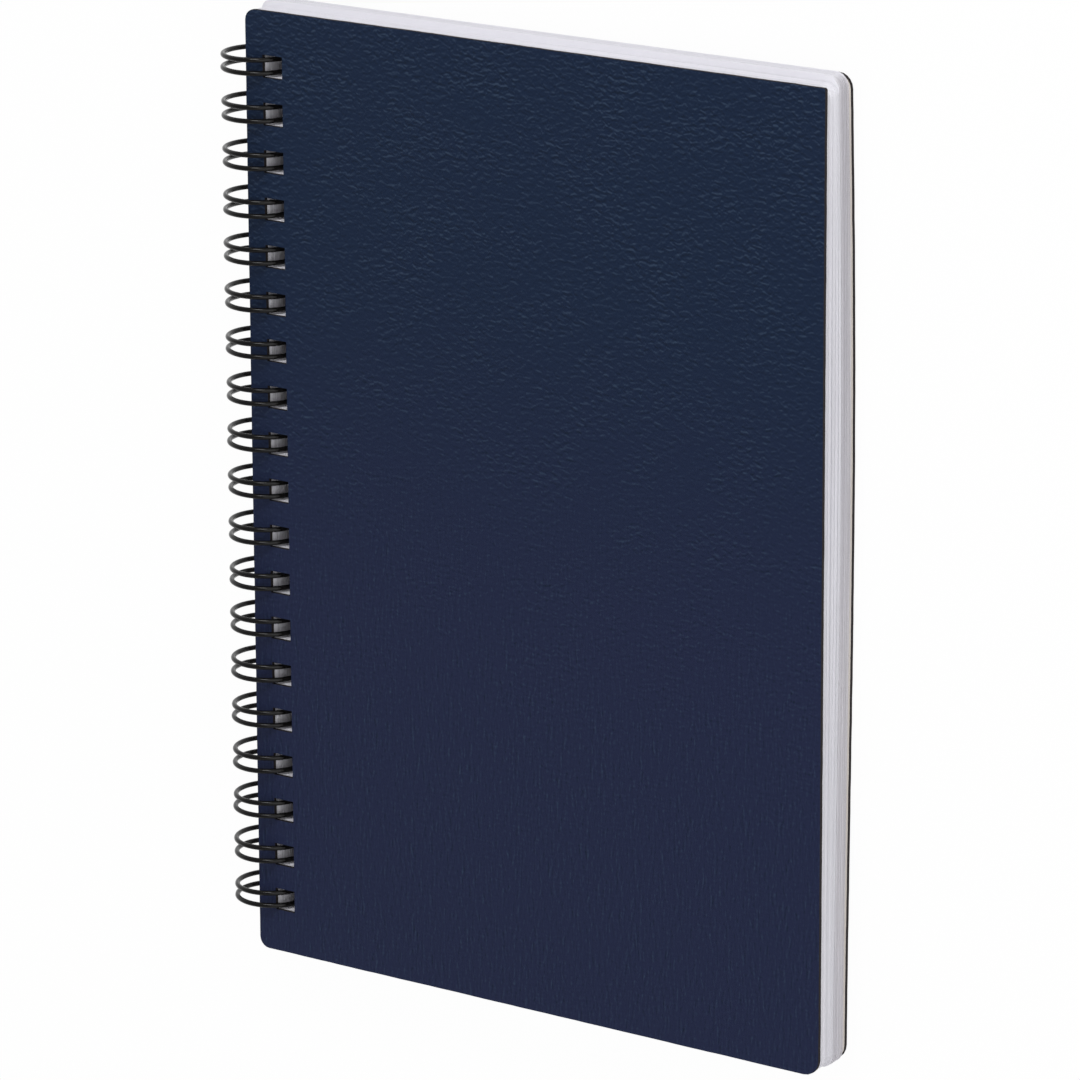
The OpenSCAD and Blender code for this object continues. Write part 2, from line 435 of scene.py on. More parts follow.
def nylon_coated_wire(wire):
    """Galvanised steel wire under a black nylon coat: satin, with a soft highlight and a coat that was
    drawn on and is a little uneven along the wire."""
    material, tree = new_material("nylon_coated_wire")
    ripple_height = 0.01 * MM
    ripple = noise_pattern(tree, (1.2 * MM, 1.2 * MM, 1.2 * MM), 2.0, 0.5)
    polish_range = {0: ripple, 1: 0.3, 2: 0.7, 3: 0.13, 4: 0.19}
    polish = add_node(tree, "ShaderNodeMapRange", polish_range, **SMOOTH)
    look = {"Base Color": wire.coat, "Roughness": polish, "IOR": 1.53, "Specular IOR Level": 0.2}
    finish_material(tree, look, ripple_height, ripple)
    return material


def placed(name, data):
    """An object with this data, linked to the scene."""
    made = bpy.data.objects.new(name, data)
    bpy.context.scene.collection.objects.link(made)
    return made


def corner_arc(x, y, radius, start):
    """Points round a rounded corner, a quarter turn on from a start angle in degrees."""
    turns = [math.radians(start + 90 * step / CORNER_STEPS) for step in range(CORNER_STEPS + 1)]
    side_x = 1 if start in (270, 0) else -1
    side_y = 1 if start in (0, 90) else -1
    centre_x = x - side_x * radius
    centre_y = y - side_y * radius
    return [Vector((centre_x + radius * math.cos(t), centre_y + radius * math.sin(t))) for t in turns]


def sheet_outline(low, high, radii, spacing, wave=0.0):
    """Points round a sheet, anticlockwise from its tail corner at the spine. The radii are those of the
    tail corners at spine and fore-edge and the head corners at fore-edge and spine. Long sides are divided
    at a spacing, and uneven by up to the wave."""
    arcs = [
        corner_arc(low.x, low.y, radii[0], 180),
        corner_arc(high.x, low.y, radii[1], 270),
        corner_arc(high.x, high.y, radii[2], 0),
        corner_arc(low.x, high.y, radii[3], 90),
    ]
    ring = []
    for arc, following in zip(arcs, arcs[1:] + arcs[:1]):
        ring += arc
        side = following[0] - arc[-1]
        outwards = Vector((side.y, -side.x)).normalized()
        parts = max(1, math.ceil(side.length / spacing))
        for part in range(1, parts):
            point = arc[-1] + side * part / parts
            uneven = noise.noise(Vector((point.x, point.y, low.z)) / WAVE_LENGTH)
            ring.append(point + outwards * wave * uneven)
    return ring


def hole_rows(holes):
    """Low and high Y of each hole, from the tail to the head."""
    middles = [((holes.count - 1) / 2 - i) * holes.pitch for i in reversed(range(holes.count))]
    return [(y - holes.height / 2, y + holes.height / 2) for y in middles]


def hole_sides(holes):
    """X of the holes' sides at the spine and at the fore-edge."""
    left = SPINE_X + holes.margin
    return left, left + holes.width


def punched_rings(holes):
    """A ring of points for each punched hole."""
    left, right = hole_sides(holes)
    return [
        [Vector((left, low)), Vector((right, low)), Vector((right, high)), Vector((left, high))]
        for low, high in hole_rows(holes)
    ]


def hole_detour(channel_x, hole_x, low, high):
    """Points where a side of the channel turns off to go round its half of a hole, and comes back."""
    return [Vector(point) for point in ((channel_x, low), (hole_x, low), (hole_x, high), (channel_x, high))]


def channel_ring(holes, left, right):
    """One ring round all the holes and the channel that joins them and runs a little past the end ones."""
    hole_left, hole_right = hole_sides(holes)
    rows = hole_rows(holes)
    past = (holes.pitch - holes.height) / 2
    tail_end = rows[0][0] - past
    head_end = rows[-1][1] + past
    fore_side = [Vector((right, tail_end))]
    spine_side = [Vector((left, tail_end))]
    for low, high in rows:
        fore_side += hole_detour(right, hole_right, low, high)
        spine_side += hole_detour(left, hole_left, low, high)
    fore_side.append(Vector((right, head_end)))
    spine_side.append(Vector((left, head_end)))
    return fore_side + spine_side[::-1]


def inner_points(low, high, holes, spacing):
    """Points spread over a sheet between its holes and its fore-edge."""
    start = hole_sides(holes)[1]
    width = high.x - start
    height = high.y - low.y
    across = max(2, math.ceil(width / spacing))
    down = max(2, math.ceil(height / spacing))
    return [
        Vector((start + width * (i + 0.5) / across, low.y + height * (j + 0.5) / down))
        for i in range(across)
        for j in range(down)
    ]


def in_a_ring(point, rings):
    """Whether a point lies inside one of the rings."""
    crossings = 0
    for ring in rings:
        for a, b in zip(ring, ring[1:] + ring[:1]):
            if (a.y > point.y) != (b.y > point.y):
                crossings += point.x < a.x + (point.y - a.y) * (b.x - a.x) / (b.y - a.y)
    return crossings % 2 == 1


def filled_outline(rings, inside):
    """Points and triangles that fill the first ring round the others, which are its holes."""
    points = []
    edges = []
    for ring in rings:
        start = len(points)
        points += ring
        edges += [(start + i, start + (i + 1) % len(ring)) for i in range(len(ring))]
    inside_outline = 1
    tolerance = 1e-7
    filled = geometry.delaunay_2d_cdt(points + inside, edges, [], inside_outline, tolerance)
    flat_points = filled[0]
    middles = [(t, sum((flat_points[i] for i in t), Vector((0, 0))) / 3) for t in filled[2]]
    return flat_points, [triangle for triangle, middle in middles if not in_a_ring(middle, rings[1:])]


def plate(name, rings, inside, bottom, top, materials):
    """A closed plate from its outline and hole rings. Its upper face, lower face and rim take the three
    materials, or all of it the only one. Its faces are smooth up to the sharp edges of the rim."""
    flat_points, triangles = filled_outline(rings, inside)
    over, under, rim = (0, 1, 2) if len(materials) == 3 else (0, 0, 0)
    bm = bmesh.new()
    upper = [bm.verts.new((p.x, p.y, top)) for p in flat_points]
    lower = [bm.verts.new((p.x, p.y, bottom)) for p in flat_points]
    for triangle in triangles:
        bm.faces.new([upper[i] for i in triangle]).material_index = over
        bm.faces.new([lower[i] for i in reversed(triangle)]).material_index = under
    below = dict(zip(upper, lower))
    open_edges = [e.link_loops[0] for e in bm.edges if e.is_boundary and e.verts[0] in below]
    walls = [(loop.vert, loop.link_loop_next.vert) for loop in open_edges]
    for first, second in walls:
        bm.faces.new([first, below[first], below[second], second]).material_index = rim
    bm.normal_update()
    for face in bm.faces:
        face.smooth = True
    for edge in bm.edges:
        edge.smooth = edge.calc_face_angle(0.0) < SHARP_ANGLE
    mesh = bpy.data.meshes.new(name)
    bm.to_mesh(mesh)
    bm.free()
    for material in materials:
        mesh.materials.append(material)
    return placed(name, mesh)


def node_tree(name, inputs):
    """A Geometry Nodes tree with a geometry input, these other inputs by kind and a geometry output. It
    returns the tree and its input sockets by name."""
    tree = bpy.data.node_groups.new(name, "GeometryNodeTree")
    tree.interface.new_socket("Geometry", in_out="INPUT", socket_type="NodeSocketGeometry")
    for kind, labels in inputs.items():
        for label in labels:
            tree.interface.new_socket(label, in_out="INPUT", socket_type=f"NodeSocket{kind}")
    tree.interface.new_socket("Geometry", in_out="OUTPUT", socket_type="NodeSocketGeometry")
    start = add_node(tree, "NodeGroupInput")
    return tree, {socket.name: socket for socket in start.outputs if socket.name}


def grow(source, tree, values):
    """Gives the source object the tree as a modifier, with its inputs set by their identifiers."""
    modifier = source.modifiers.new(tree.name, "NODES")
    modifier.node_group = tree
    identifiers = {
        item.name: item.identifier
        for item in tree.interface.items_tree
        if item.item_type == "SOCKET" and item.in_out == "INPUT"
    }
    for name, value in values.items():
        modifier[identifiers[name]] = value


def plain_piece(source, name):
    """A plain mesh piece, at the origin, from what the source object and its modifiers make."""
    depsgraph = bpy.context.evaluated_depsgraph_get()
    mesh = bpy.data.meshes.new_from_object(source.evaluated_get(depsgraph), depsgraph=depsgraph)
    mesh.name = name
    bpy.data.objects.remove(source)
    return placed(name, mesh)


def settling_of(sheets):
    """The values of the settings by which the stack and the back cover settle."""
    return {name: getattr(sheets, name.lower()) for name in SETTLING}


def sag_offset(tree, bow, splay):
    """The offset by which a point of the stack sags away from the front, which is nothing at the spine.
    All of the fore-edge sags by the splay, and by the bow too a little above its middle."""
    curl = 2.0
    top_heavy = 1.4
    position = add_node(tree, "GeometryNodeInputPosition")
    place = add_node(tree, "ShaderNodeSeparateXYZ", {0: position})
    across = place.outputs["X"]
    steps = (("SUBTRACT", SPINE_X), ("DIVIDE", COVER_WIDTH), ("MAXIMUM", 0.0), ("POWER", curl))
    for operation, value in steps:
        across = add_node(tree, "ShaderNodeMath", {0: across, 1: value}, operation=operation)
    from_tail = add_node(tree, "ShaderNodeMath", {0: place.outputs["Y"], 1: HALF_HEIGHT}, operation="ADD")
    height = {0: from_tail, 1: 2 * HALF_HEIGHT}
    upward = add_node(tree, "ShaderNodeMath", height, operation="DIVIDE", use_clamp=True)
    for operation, value in (("POWER", top_heavy), ("MULTIPLY", math.pi)):
        upward = add_node(tree, "ShaderNodeMath", {0: upward, 1: value}, operation=operation)
    swell = add_node(tree, "ShaderNodeMath", {0: upward}, operation="SINE")
    at_fore_edge = add_node(tree, "ShaderNodeMath", {0: swell, 1: bow, 2: splay}, operation="MULTIPLY_ADD")
    sag = add_node(tree, "ShaderNodeMath", {0: across, 1: at_fore_edge}, operation="MULTIPLY")
    down = add_node(tree, "ShaderNodeMath", {0: sag, 1: -1.0}, operation="MULTIPLY")
    return add_node(tree, "ShaderNodeCombineXYZ", {"Z": down})


def wire_tree():
    """Repeats one loop's path down the spine, welds the paths into one wire, lets each loop lean a little,
    and sweeps the wire's round section along it."""
    inputs = {
        "Int": ("Loops", "Seed"),
        "Float": ("Pitch", "Radius", "Lean", "Root X", "Reach"),
        "Material": ("Coat",),
    }
    tree, given = node_tree("Twin-loop wire", inputs)
    start = given["Loops"]
    for operation, value in (("SUBTRACT", 1.0), ("MULTIPLY", given["Pitch"]), ("MULTIPLY", -0.5)):
        start = add_node(tree, "ShaderNodeMath", {0: start, 1: value}, operation=operation)
    row = {
        "Count": given["Loops"],
        "Start Location": add_node(tree, "ShaderNodeCombineXYZ", {"Y": start}),
        "Offset": add_node(tree, "ShaderNodeCombineXYZ", {"Y": given["Pitch"]}),
    }
    line = add_node(tree, "GeometryNodeMeshLine", row)
    copies = {"Points": line, "Instance": given["Geometry"]}
    loops = add_node(tree, "GeometryNodeInstanceOnPoints", copies)
    paths = add_node(tree, "GeometryNodeRealizeInstances", {"Geometry": loops})
    welded = add_node(tree, "GeometryNodeMergeByDistance", {"Geometry": paths, "Distance": WELD})

    # Each leg leans by its own small chance, most at the loop's far side and not at all at the roots
    least_lean = (-0.5, -1.0, 0.0)
    most_lean = (0.5, 1.0, 0.0)
    position = add_node(tree, "GeometryNodeInputPosition")
    place = add_node(tree, "ShaderNodeSeparateXYZ", {0: position})
    place_y = {0: place.outputs["Y"], 1: given["Pitch"]}
    loops_up = add_node(tree, "ShaderNodeMath", place_y, operation="DIVIDE")
    legs_up = add_node(tree, "ShaderNodeMath", {0: loops_up, 1: 2.0}, operation="MULTIPLY")
    leg_number = add_node(tree, "ShaderNodeMath", {0: legs_up}, operation="FLOOR")
    limits = {"Min": least_lean, "Max": most_lean, "ID": leg_number, "Seed": given["Seed"]}
    chance = add_node(tree, "FunctionNodeRandomValue", limits, **VECTORS)
    place_x = {0: given["Root X"], 1: place.outputs["X"]}
    from_root = add_node(tree, "ShaderNodeMath", place_x, operation="SUBTRACT")
    reach = {0: from_root, 1: given["Reach"]}
    outward = add_node(tree, "ShaderNodeMath", reach, operation="DIVIDE", use_clamp=True)
    amount = add_node(tree, "ShaderNodeMath", {0: outward, 1: given["Lean"]}, operation="MULTIPLY")
    lean = add_node(tree, "ShaderNodeVectorMath", {0: chance, "Scale": amount}, operation="SCALE")
    leaning = add_node(tree, "GeometryNodeSetPosition", {"Geometry": welded, "Offset": lean})

    path = add_node(tree, "GeometryNodeMeshToCurve", {"Mesh": leaning})
    round_section = {"Resolution": WIRE_SIDES, "Radius": given["Radius"]}
    section = add_node(tree, "GeometryNodeCurvePrimitiveCircle", round_section)
    sweep = {"Curve": path, "Profile Curve": section, "Fill Caps": True}
    tube = add_node(tree, "GeometryNodeCurveToMesh", sweep)
    whole = add_node(tree, "GeometryNodeRealizeInstances", {"Geometry": tube})
    coated = add_node(tree, "GeometryNodeSetMaterial", {"Geometry": whole, "Material": given["Coat"]})
    add_node(tree, "NodeGroupOutput", {"Geometry": coated})
    return tree


def stack_tree():
    """Repeats the sheets down the stack. Sheets at the level of the wire's roots are the ones with a
    channel. The rear sheets are the taller ones. The stack has settled a little, more and more towards
    its back, and clumps of sheets fan open at the bow."""
    inputs = {
        "Object": ("Channelled Sheet", "Rear Sheet"),
        "Int": ("Sheets", "Clump", "Channel From", "Channel To", "Seed"),
        "Float": ("Pitch", "Top", "Front Share", "Fanned", "Jitter", *SETTLING),
        "Material": ("Paper",),
    }
    tree, given = node_tree("Stack of sheets", inputs)
    down = add_node(tree, "ShaderNodeMath", {0: given["Pitch"], 1: -1.0}, operation="MULTIPLY")
    first = add_node(tree, "ShaderNodeMath", {0: given["Top"], 1: given["Pitch"]}, operation="SUBTRACT")
    column = {
        "Count": given["Sheets"],
        "Start Location": add_node(tree, "ShaderNodeCombineXYZ", {"Z": first}),
        "Offset": add_node(tree, "ShaderNodeCombineXYZ", {"Z": down}),
    }
    line = add_node(tree, "GeometryNodeMeshLine", column)

    # Each sheet's share of the way to the back, its fanning with its clump, and its unevenness
    index = add_node(tree, "GeometryNodeInputIndex")
    last = add_node(tree, "ShaderNodeMath", {0: given["Sheets"], 1: 1.0}, operation="SUBTRACT")
    in_clumps = add_node(tree, "ShaderNodeMath", {0: index, 1: given["Clump"]}, operation="DIVIDE")
    clump_number = add_node(tree, "ShaderNodeMath", {0: in_clumps}, operation="FLOOR")
    clump_start = {0: clump_number, 1: given["Clump"]}
    clump_first = add_node(tree, "ShaderNodeMath", clump_start, operation="MULTIPLY")
    clump_share = add_node(tree, "ShaderNodeMath", {0: clump_first, 1: last}, operation="DIVIDE")
    fan_range = {0: clump_share, 1: 0.0, 2: given["Fanned"]}
    limits = {"Min": (-1.0, -1.0, 0.0), "Max": (1.0, 1.0, 0.0), "Seed": given["Seed"]}
    notes = (
        ("share", "FLOAT", add_node(tree, "ShaderNodeMath", {0: index, 1: last}, operation="DIVIDE")),
        ("fan", "FLOAT", add_node(tree, "ShaderNodeMapRange", fan_range, **SMOOTH)),
        ("uneven", "FLOAT_VECTOR", add_node(tree, "FunctionNodeRandomValue", limits, **VECTORS)),
    )
    marked = line
    for name, kind, value in notes:
        note = {"Geometry": marked, "Name": name, "Value": value}
        marked = add_node(tree, "GeometryNodeStoreNamedAttribute", note, data_type=kind, domain="POINT")

    # Which of the three sheets lies where
    share = add_node(tree, "GeometryNodeInputNamedAttribute", {"Name": "share"}, data_type="FLOAT")
    rear = add_node(tree, "ShaderNodeMath", {0: share, 1: given["Front Share"]}, operation="GREATER_THAN")
    before = add_node(tree, "ShaderNodeMath", {0: given["Channel From"], 1: 0.5}, operation="SUBTRACT")
    from_there = add_node(tree, "ShaderNodeMath", {0: index, 1: before}, operation="GREATER_THAN")
    to_there = add_node(tree, "ShaderNodeMath", {0: index, 1: given["Channel To"]}, operation="LESS_THAN")
    at_roots = add_node(tree, "ShaderNodeMath", {0: from_there, 1: to_there}, operation="MULTIPLY")
    not_rear = add_node(tree, "ShaderNodeMath", {0: 1.0, 1: rear}, operation="SUBTRACT")
    plain = add_node(tree, "ShaderNodeMath", {0: not_rear, 1: at_roots}, operation="SUBTRACT")
    channelled = add_node(tree, "GeometryNodeObjectInfo", {"Object": given["Channelled Sheet"]})
    tall = add_node(tree, "GeometryNodeObjectInfo", {"Object": given["Rear Sheet"]})
    layers = (
        (given["Geometry"], plain),
        (channelled.outputs["Geometry"], at_roots),
        (tall.outputs["Geometry"], rear),
    )
    sheets = add_node(tree, "GeometryNodeJoinGeometry")
    for sheet, chosen in layers:
        copies = {"Points": marked, "Instance": sheet, "Selection": chosen}
        layer = add_node(tree, "GeometryNodeInstanceOnPoints", copies)
        tree.links.new(layer.outputs["Instances"], sheets.inputs[0])

    # The stack settles: it slides, turns about the spine and sags
    uneven = add_node(tree, "GeometryNodeInputNamedAttribute", {"Name": "uneven"}, **VECTORS)
    unevenness = {0: uneven, "Scale": given["Jitter"]}
    jitter = add_node(tree, "ShaderNodeVectorMath", unevenness, operation="SCALE")
    slide = add_node(tree, "ShaderNodeMath", {0: given["Slide"], 1: share}, operation="MULTIPLY")
    to_spine = add_node(tree, "ShaderNodeMath", {0: slide, 1: -1.0}, operation="MULTIPLY")
    to_head = add_node(tree, "ShaderNodeMath", {0: given["Lift"], 1: share}, operation="MULTIPLY")
    settled = add_node(tree, "ShaderNodeCombineXYZ", {"X": to_spine, "Y": to_head})
    shift = add_node(tree, "ShaderNodeVectorMath", {0: settled, 1: jitter}, operation="ADD")
    shifting = {"Instances": sheets, "Translation": shift, "Local Space": False}
    shifted = add_node(tree, "GeometryNodeTranslateInstances", shifting)
    turn = add_node(tree, "ShaderNodeMath", {0: given["Skew"], 1: share}, operation="MULTIPLY")
    turning = {
        "Instances": shifted,
        "Rotation": add_node(tree, "ShaderNodeCombineXYZ", {"Z": turn}),
        "Pivot Point": (SPINE_X, 0.0, 0.0),
        "Local Space": False,
    }
    turned = add_node(tree, "GeometryNodeRotateInstances", turning)
    stack = add_node(tree, "GeometryNodeRealizeInstances", {"Geometry": turned})
    fan = add_node(tree, "GeometryNodeInputNamedAttribute", {"Name": "fan"}, data_type="FLOAT")
    bow = add_node(tree, "ShaderNodeMath", {0: given["Bow"], 1: fan}, operation="MULTIPLY")
    splay = add_node(tree, "ShaderNodeMath", {0: given["Splay"], 1: share}, operation="MULTIPLY")
    sagging = {"Geometry": stack, "Offset": sag_offset(tree, bow, splay)}
    sagged = add_node(tree, "GeometryNodeSetPosition", sagging)
    papered = add_node(tree, "GeometryNodeSetMaterial", {"Geometry": sagged, "Material": given["Paper"]})
    add_node(tree, "NodeGroupOutput", {"Geometry": papered})
    return tree


def settled_cover_tree():
    """Settles and bows a cover with the back of the stack."""
    tree, given = node_tree("Settled cover", {"Float": SETTLING})
    to_origin = {"Geometry": given["Geometry"], "Translation": (-SPINE_X, 0.0, 0.0)}
    on_spine = add_node(tree, "GeometryNodeTransform", to_origin)
    back_x = add_node(tree, "ShaderNodeMath", {0: SPINE_X, 1: given["Slide"]}, operation="SUBTRACT")
    turning = {
        "Geometry": on_spine,
        "Translation": add_node(tree, "ShaderNodeCombineXYZ", {"X": back_x, "Y": given["Lift"]}),
        "Rotation": add_node(tree, "ShaderNodeCombineXYZ", {"Z": given["Skew"]}),
    }
    turned = add_node(tree, "GeometryNodeTransform", turning)
    sagging = {"Geometry": turned, "Offset": sag_offset(tree, given["Bow"], given["Splay"])}
    sagged = add_node(tree, "GeometryNodeSetPosition", sagging)
    add_node(tree, "NodeGroupOutput", {"Geometry": sagged})
    return tree


def round_edges(source, width):
    """Rounds the plate's sharp edges a little, in the colour of its rim."""
    bevel = source.modifiers.new("Rounded edges", "BEVEL")
    bevel.width = width
    bevel.segments = 2
    bevel.limit_method = "ANGLE"
    bevel.angle_limit = SHARP_ANGLE
    bevel.harden_normals = True
    bevel.material = 2


def loop_radius(wire):
    """Radius of a loop's centreline."""
    return LOOP_REACH - wire.diameter / 2


def root_reach(wire):
    """Distance from the middle of the loops to the centreline of the roots."""
    return math.hypot(loop_radius(wire), wire.root_bend)


def root_angle(wire):
    """Angle round the loop at which the roots lie."""
    rise = BLOCK_HIGH.z - LOOP_CENTRE.z - wire.root_sink - wire.diameter / 2
    return math.asin(rise / root_reach(wire))


def root_x(wire):
    """X of the centreline of the roots."""
    return LOOP_CENTRE.x + root_reach(wire) * math.cos(root_angle(wire))


def loop_path(holes, wire):
    """Points of one loop: half a root, a leg round to the tip, the tip, the other leg, and half a root."""
    radius = loop_radius(wire)
    half_gap = wire.leg_gap / 2
    bend = wire.root_bend
    leg_start = root_angle(wire) + math.atan(wire.tip_gap / radius) + math.atan(half_gap / radius)
    leg_end = root_angle(wire) + 2 * math.pi - math.atan(bend / radius)

    def on_loop(turn, along, past):
        """A point at an angle round the loop, so far along the spine and so far past it round the loop."""
        radial = Vector((math.cos(turn), 0, math.sin(turn)))
        onward = Vector((-math.sin(turn), 0, math.cos(turn)))
        return LOOP_CENTRE + radial * radius + onward * past + Vector((0, along, 0))

    def bent(turn, middle, bend_radius, start, end, steps):
        """Points of a flat bend that touches the loop at an angle."""
        swings = [math.radians(start + (end - start) * step / steps) for step in range(steps + 1)]
        across = [middle + bend_radius * math.cos(swing) for swing in swings]
        onward = [bend_radius * math.sin(swing) for swing in swings]
        return [on_loop(turn, *place) for place in zip(across, onward)]

    turns = [leg_end + (leg_start - leg_end) * step / LEG_STEPS for step in range(1, LEG_STEPS)]
    path = [on_loop(leg_end, -holes.pitch / 2, bend)]
    path += bent(leg_end, -half_gap - bend, bend, 90, 0, BEND_STEPS)
    path += [on_loop(turn, -half_gap, 0) for turn in turns]
    path += bent(leg_start, 0, half_gap, 180, 360, 2 * BEND_STEPS)
    path += [on_loop(turn, half_gap, 0) for turn in reversed(turns)]
    path += bent(leg_end, half_gap + bend, bend, 180, 90, BEND_STEPS)
    path.append(on_loop(leg_end, holes.pitch / 2, bend))
    return path


class NOTEBOOK_OT_wire(bpy.types.Operator):
    """Makes the black twin-loop wire as one wire from end to end"""

    bl_idname = "notebook.make_wire"
    bl_label = "Twin-loop wire"

    def execute(self, context):
        holes = context.scene.notebook_holes
        wire = context.scene.notebook_wire
        points = loop_path(holes, wire)
        mesh = bpy.data.meshes.new("loop_path")
        mesh.from_pydata(points, [(i, i + 1) for i in range(len(points) - 1)], [])
        source = placed("loop_path", mesh)
        values = {
            "Loops": holes.count,
            "Pitch": holes.pitch,
            "Radius": wire.diameter / 2,
            "Lean": wire.lean,
            "Seed": wire.seed,
            "Root X": root_x(wire),
            "Reach": 2 * loop_radius(wire),
            "Coat": nylon_coated_wire(wire),
        }
        grow(source, wire_tree(), values)
        piece = plain_piece(source, "black_wire")
        piece.data.polygons.foreach_set("use_smooth", [True] * len(piece.data.polygons))
        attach(piece, "pad")
        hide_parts("twin_loop_wire")
        return {"FINISHED"}


class NOTEBOOK_OT_sheets(bpy.types.Operator):
    """Makes the stack of punched sheets, which fans open a little at the fore-edge"""

    bl_idname = "notebook.make_sheets"
    bl_label = "Sheets"

    def execute(self, context):
        holes = context.scene.notebook_holes
        wire = context.scene.notebook_wire
        sheets = context.scene.notebook_sheets
        paper = uncoated_paper(sheets)

        # The front sheets, plain or with a channel for the wire's roots
        growth = Vector((0, sheets.growth, 0))
        radii = (sheets.spine_corner, sheets.fore_corner, sheets.fore_corner, sheets.spine_corner)
        ring = sheet_outline(BLOCK_LOW - growth, BLOCK_HIGH + growth, radii, sheets.grid)
        channel_middle = root_x(wire) + sheets.slide / 2
        half_channel = wire.diameter / 2 + sheets.channel_room
        channel = channel_ring(holes, channel_middle - half_channel, channel_middle + half_channel)

        # The rear sheets
        rear_low = BLOCK_LOW - Vector((0, sheets.rear_tail_growth, 0))
        rear_high = BLOCK_HIGH + Vector((0, sheets.rear_growth, 0))
        rear_radii = (sheets.spine_corner, sheets.rear_corner, sheets.rear_corner, sheets.spine_corner)
        rear_ring = sheet_outline(rear_low, rear_high, rear_radii, sheets.grid)

        inside = inner_points(BLOCK_LOW, BLOCK_HIGH, holes, sheets.grid)
        punched = punched_rings(holes)
        plain, channelled, rear = (
            plate(name, rings, inside, 0, sheets.thickness, [paper])
            for name, rings in (
                ("plain_sheet", [ring] + punched),
                ("channelled_sheet", [ring, channel]),
                ("rear_sheet", [rear_ring] + punched),
            )
        )
        pitch = (BLOCK_HIGH.z - BLOCK_LOW.z) / sheets.count
        values = {
            "Channelled Sheet": channelled,
            "Rear Sheet": rear,
            "Sheets": sheets.count,
            "Clump": sheets.clump,
            "Pitch": pitch,
            "Top": BLOCK_HIGH.z,
            "Channel From": math.floor(wire.root_sink / pitch + 0.5),
            "Channel To": math.ceil((wire.root_sink + wire.diameter + sheets.channel_room) / pitch),
            "Front Share": sheets.front_share,
            "Fanned": sheets.fanned,
            "Jitter": sheets.jitter,
            "Seed": sheets.seed,
            "Paper": paper,
            **settling_of(sheets),
        }
        grow(plain, stack_tree(), values)
        piece = plain_piece(plain, "sheets")
        for spare in (channelled, rear):
            bpy.data.objects.remove(spare)
        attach(piece, "pad")
        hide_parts("page_block")
        return {"FINISHED"}


def cover_plate(name, low, high, head_corner, materials):
    """A cover's plate. Its materials are those of its upper face, lower face and rim."""
    holes = bpy.context.scene.notebook_holes
    covers = bpy.context.scene.notebook_covers
    radii = (covers.spine_corner, covers.fore_corner, head_corner, covers.spine_corner)
    ring = sheet_outline(low, high, radii, covers.grid / EDGE_STEPS, covers.edge_wave)
    inside = inner_points(FRONT_LOW, FRONT_HIGH, holes, covers.grid)
    return plate(name, [ring] + punched_rings(holes), inside, low.z, high.z, materials)


class NOTEBOOK_OT_covers(bpy.types.Operator):
    """Makes the two die-cut covers, the back one settled and bowed with the sheets"""

    bl_idname = "notebook.make_covers"
    bl_label = "Covers"

    def execute(self, context):
        covers = context.scene.notebook_covers
        leather = grained_leathercloth(covers)
        lining = lining_paper(covers)
        core = die_cut_core(covers)
        front_faces = [leather, lining, core]
        front = cover_plate("front_plate", FRONT_LOW, FRONT_HIGH, covers.head_corner, front_faces)
        round_edges(front, covers.edge_round)

        back_high = BACK_HIGH + Vector((0, covers.back_growth, 0))
        back_faces = [lining, leather, core]
        back = cover_plate("back_plate", BACK_LOW, back_high, covers.back_corner, back_faces)
        grow(back, settled_cover_tree(), settling_of(context.scene.notebook_sheets))
        round_edges(back, covers.edge_round)

        for source, name, node in (
            (front, "front_cover_board", "front_cover"),
            (back, "back_cover_board", "back_cover"),
        ):
            piece = plain_piece(source, name)
            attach(piece, node)
            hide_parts(node)
        return {"FINISHED"}


def white_floor(stage):
    """A matt painted floor that shows plain white to the camera and in reflections, with a faint shadow."""
    material, tree = new_material("white_floor")
    paint = {"Base Color": linear("#F2F2F2"), "Roughness": 0.9, "Specular IOR Level": 0.1}
    painted = add_node(tree, "ShaderNodeBsdfPrincipled", paint)
    rays = add_node(tree, "ShaderNodeLightPath").outputs
    seen = {0: rays["Is Camera Ray"], 1: rays["Is Glossy Ray"]}
    for_eye = add_node(tree, "ShaderNodeMath", seen, operation="MAXIMUM")
    through = {0: for_eye, 1: rays["Is Transmission Ray"]}
    for_all = add_node(tree, "ShaderNodeMath", through, operation="MAXIMUM")
    share = add_node(tree, "ShaderNodeMath", {0: for_all, 1: stage.floor_white}, operation="MULTIPLY")
    white = add_node(tree, "ShaderNodeEmission", {"Color": linear("#FFFFFF"), "Strength": 1.0})
    mixed = add_node(tree, "ShaderNodeMixShader", {0: share, 1: painted, 2: white})
    add_node(tree, "ShaderNodeOutputMaterial", {"Surface": mixed})
    return material


def soft_room(stage):
    """A plain room: white at and below the horizon and greyer overhead."""
    world = bpy.data.worlds.new("soft_room")
    world.use_nodes = True
    tree = world.node_tree
    tree.nodes.clear()
    direction = add_node(tree, "ShaderNodeTexCoord").outputs["Generated"]
    height = add_node(tree, "ShaderNodeSeparateXYZ", {0: direction}).outputs["Z"]
    greying = {0: height, 1: 0.1, 2: 0.8, 3: 1.0, 4: stage.zenith}
    level = add_node(tree, "ShaderNodeMapRange", greying, **SMOOTH)
    background = add_node(tree, "ShaderNodeBackground", {"Color": linear("#FFFFFF"), "Strength": level})
    add_node(tree, "ShaderNodeOutputWorld", {"Surface": background})
    bpy.context.scene.world = world


def soft_light(name, power, direction, distance, size):
    """A square soft light that shines on the notebook from a direction."""
    data = bpy.data.lights.new(name, "AREA")
    data.shape = "SQUARE"
    data.size = size
    data.energy = power
    lamp = placed(name, data)
    lamp.location = Vector(direction).normalized() * distance
    lamp.rotation_mode = "QUATERNION"
    lamp.rotation_quaternion = (-lamp.location).to_track_quat("-Z", "Y")


